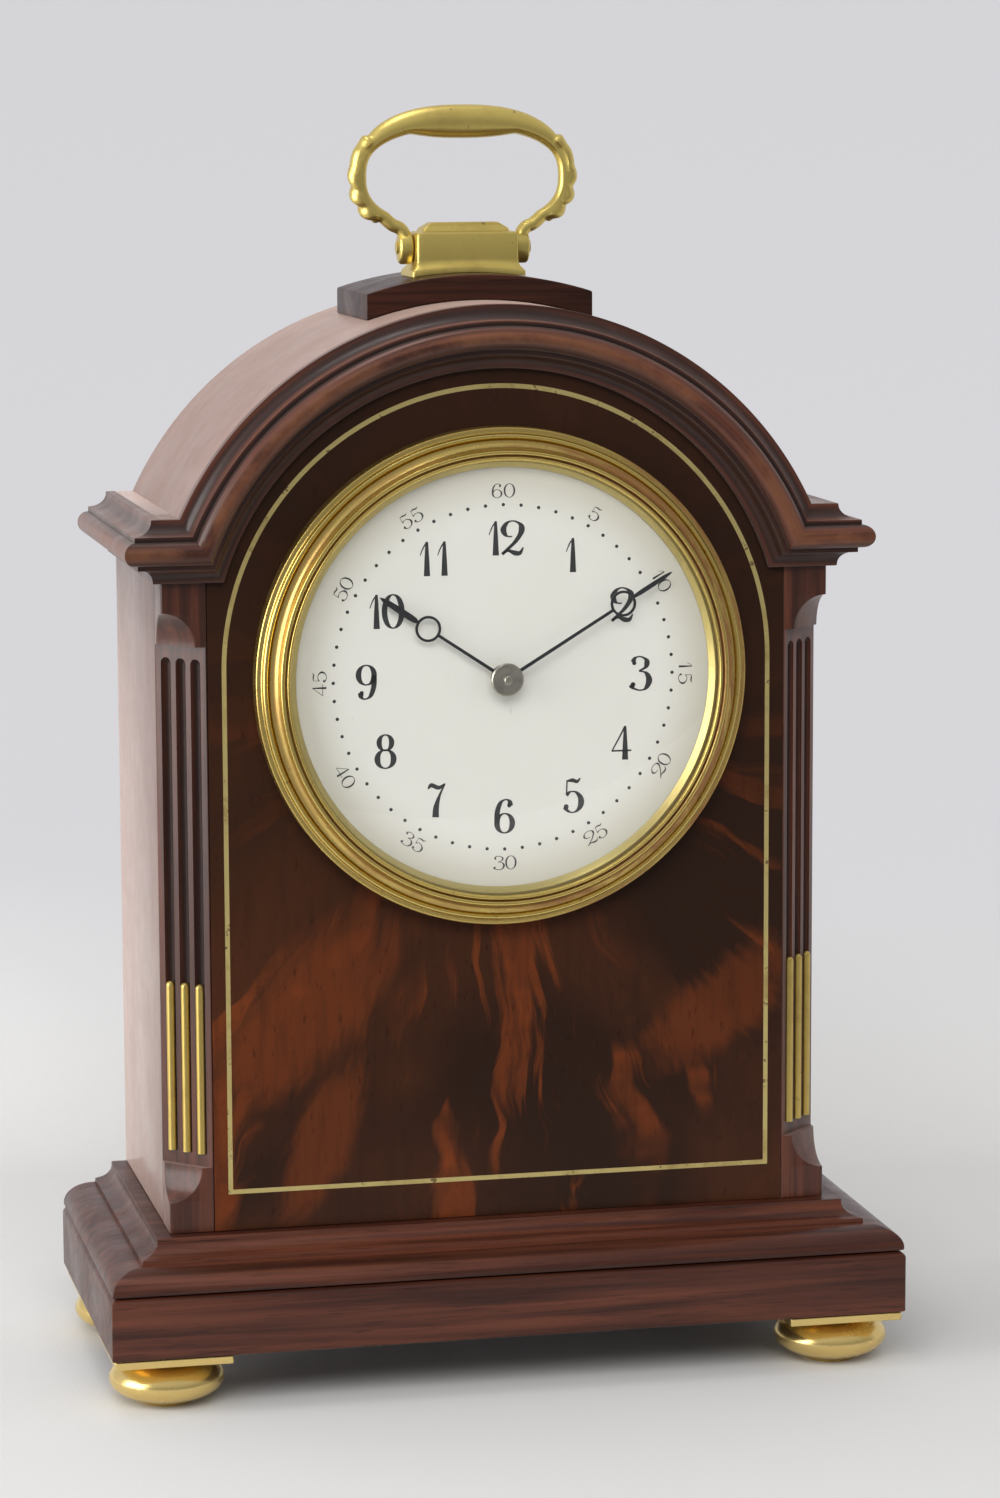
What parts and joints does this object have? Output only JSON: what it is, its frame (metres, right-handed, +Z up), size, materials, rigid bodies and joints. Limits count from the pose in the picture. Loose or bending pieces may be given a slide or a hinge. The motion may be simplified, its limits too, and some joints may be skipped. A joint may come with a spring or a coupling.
{
  "type": "bracket clock",
  "caption": "Break-arch wooden bracket clock on bun feet with a glazed round dial, folding carrying handle, fluted canted corners and a working wound movement with a hinged rear door",
  "frame": {"origin": "centre of the footprint, on the ground under the feet", "axes": "+Z up through the clock, front (dial) towards -Y, +X to the right seen from the front"},
  "size_m": [0.1942, 0.1022, 0.3051],
  "materials": {
    "mahogany": "gloss",
    "flame_veneer": "gloss",
    "cast_brass": "polished",
    "turned_brass": "polished",
    "clock_brass": "satin",
    "silvered_dial": "satin",
    "steel": "polished",
    "dark_steel": "satin",
    "glass": "gloss"
  },
  "bodies": {
    "clock_body": {"plinth_band": "mahogany", "plinth_moulding": "mahogany", "corner_post_left": "mahogany", "corner_post_right": "mahogany", "side_left": "mahogany", "side_right": "mahogany", "back_panel": "mahogany", "roof_arch": "mahogany", "cornice_front": "mahogany", "cornice_left": "mahogany", "cornice_right": "mahogany", "top_pad": "mahogany", "front_panel": "flame_veneer", "foot_front_left": "cast_brass", "foot_front_right": "cast_brass", "foot_rear_left": "cast_brass", "foot_rear_right": "cast_brass", "handle_pedestal": "cast_brass", "handle_pin": "cast_brass", "flute_rod_left_1": "cast_brass", "flute_rod_left_2": "cast_brass", "flute_rod_left_3": "cast_brass", "flute_rod_right_1": "cast_brass", "flute_rod_right_2": "cast_brass", "flute_rod_right_3": "cast_brass", "brass_line": "turned_brass", "bezel": "turned_brass", "sight_ring": "turned_brass", "rear_ring": "turned_brass", "bezel_glass": "glass", "dial": "silvered_dial", "dial_seat": "clock_brass", "front_plate": "clock_brass", "back_plate": "clock_brass", "platform": "clock_brass", "balance_cock": "clock_brass", "strap_left": "clock_brass", "strap_right": "clock_brass", "strap_screw_left": "steel", "strap_screw_right": "steel"},
    "bail": {"handle_bail": "cast_brass"},
    "hands": {"centre_arbor": "steel", "cannon_pinion": "steel", "minute_hand": "dark_steel", "hand_boss": "steel"},
    "hour": {"hour_wheel": "clock_brass", "hour_hand": "dark_steel"},
    "motion_wheel": {"minute_wheel": "clock_brass"},
    "great_wheel": {"barrel": "clock_brass"},
    "winder": {"winding_arbor": "steel"},
    "pawl": {"click": "steel"},
    "centre": {"centre_wheel": "clock_brass"},
    "third": {"third_wheel": "clock_brass"},
    "contrate": {"contrate_wheel": "clock_brass"},
    "escape": {"escape_wheel": "steel"},
    "lever": {"pallet_lever": "steel"},
    "balance": {"balance_wheel": "clock_brass", "hairspring": "dark_steel"},
    "index": {"regulator": "steel"},
    "door": {"rear_door": "turned_brass"}
  },
  "joints": [
    {"name": "handle_swing", "type": "hinge", "parent": "clock_body", "child": "bail", "pos_m": [0, 0.0038, 0.2711], "axis": [1, 0, 0], "range_deg": [-100, 100]},
    {"name": "hand_setting", "type": "hinge", "parent": "clock_body", "child": "hands", "pos_m": [0, -0.0047, 0.1713], "axis": [0, 1, 0], "continuous": true},
    {"name": "hour_turn", "type": "hinge", "parent": "clock_body", "child": "hour", "pos_m": [0, -0.0347, 0.1713], "axis": [0, 1, 0], "continuous": true},
    {"name": "motion_wheel_turn", "type": "hinge", "parent": "clock_body", "child": "motion_wheel", "pos_m": [-0.012, -0.0347, 0.1713], "axis": [0, 1, 0], "continuous": true},
    {"name": "contrate_turn", "type": "hinge", "parent": "clock_body", "child": "contrate", "pos_m": [0, -0.0097, 0.1964], "axis": [0, 1, 0], "continuous": true},
    {"name": "barrel_turn", "type": "hinge", "parent": "clock_body", "child": "great_wheel", "pos_m": [0, -0.0097, 0.15082], "axis": [0, 1, 0], "continuous": true},
    {"name": "centre_turn", "type": "hinge", "parent": "clock_body", "child": "centre", "pos_m": [0, -0.0097, 0.1713], "axis": [0, 1, 0], "continuous": true},
    {"name": "third_turn", "type": "hinge", "parent": "clock_body", "child": "third", "pos_m": [0.01062, -0.0097, 0.18602], "axis": [0, 1, 0], "continuous": true},
    {"name": "escape_turn", "type": "hinge", "parent": "clock_body", "child": "escape", "pos_m": [0, -0.0037, 0.2083], "axis": [0, 0, 1], "continuous": true},
    {"name": "winding", "type": "hinge", "parent": "clock_body", "child": "winder", "pos_m": [0, 0.0153, 0.15082], "axis": [0, 1, 0], "continuous": true},
    {"name": "click_lift", "type": "hinge", "parent": "clock_body", "child": "pawl", "pos_m": [0.013, 0.0133, 0.15202], "axis": [0, 1, 0], "range_deg": [0, 12], "stiffness_Nm_per_rad": 0.0005},
    {"name": "lever_rock", "type": "hinge", "parent": "clock_body", "child": "lever", "pos_m": [0, -0.00852, 0.2113], "axis": [0, 0, 1], "range_deg": [-5, 5]},
    {"name": "balance_swing", "type": "hinge", "parent": "clock_body", "child": "balance", "pos_m": [0, -0.01552, 0.2163], "axis": [0, 0, 1], "range_deg": [-135, 135], "stiffness_Nm_per_rad": 0.000008},
    {"name": "regulator_turn", "type": "hinge", "parent": "clock_body", "child": "index", "pos_m": [0, -0.01552, 0.2193], "axis": [0, 0, 1], "range_deg": [-20, 20]},
    {"name": "rear_door_swing", "type": "hinge", "parent": "clock_body", "child": "door", "pos_m": [-0.0461, 0.046, 0.1713], "axis": [0, 0, 1], "range_deg": [0, 110]}
  ],
  "couplings": [
    {"joint": "hour_turn", "follows": "hand_setting", "ratio": 0.083333},
    {"joint": "motion_wheel_turn", "follows": "hand_setting", "ratio": -0.33333},
    {"joint": "third_turn", "follows": "contrate_turn", "ratio": -0.1},
    {"joint": "centre_turn", "follows": "contrate_turn", "ratio": 0.01},
    {"joint": "barrel_turn", "follows": "contrate_turn", "ratio": -0.0014286},
    {"joint": "escape_turn", "follows": "contrate_turn", "ratio": 6}
  ]
}
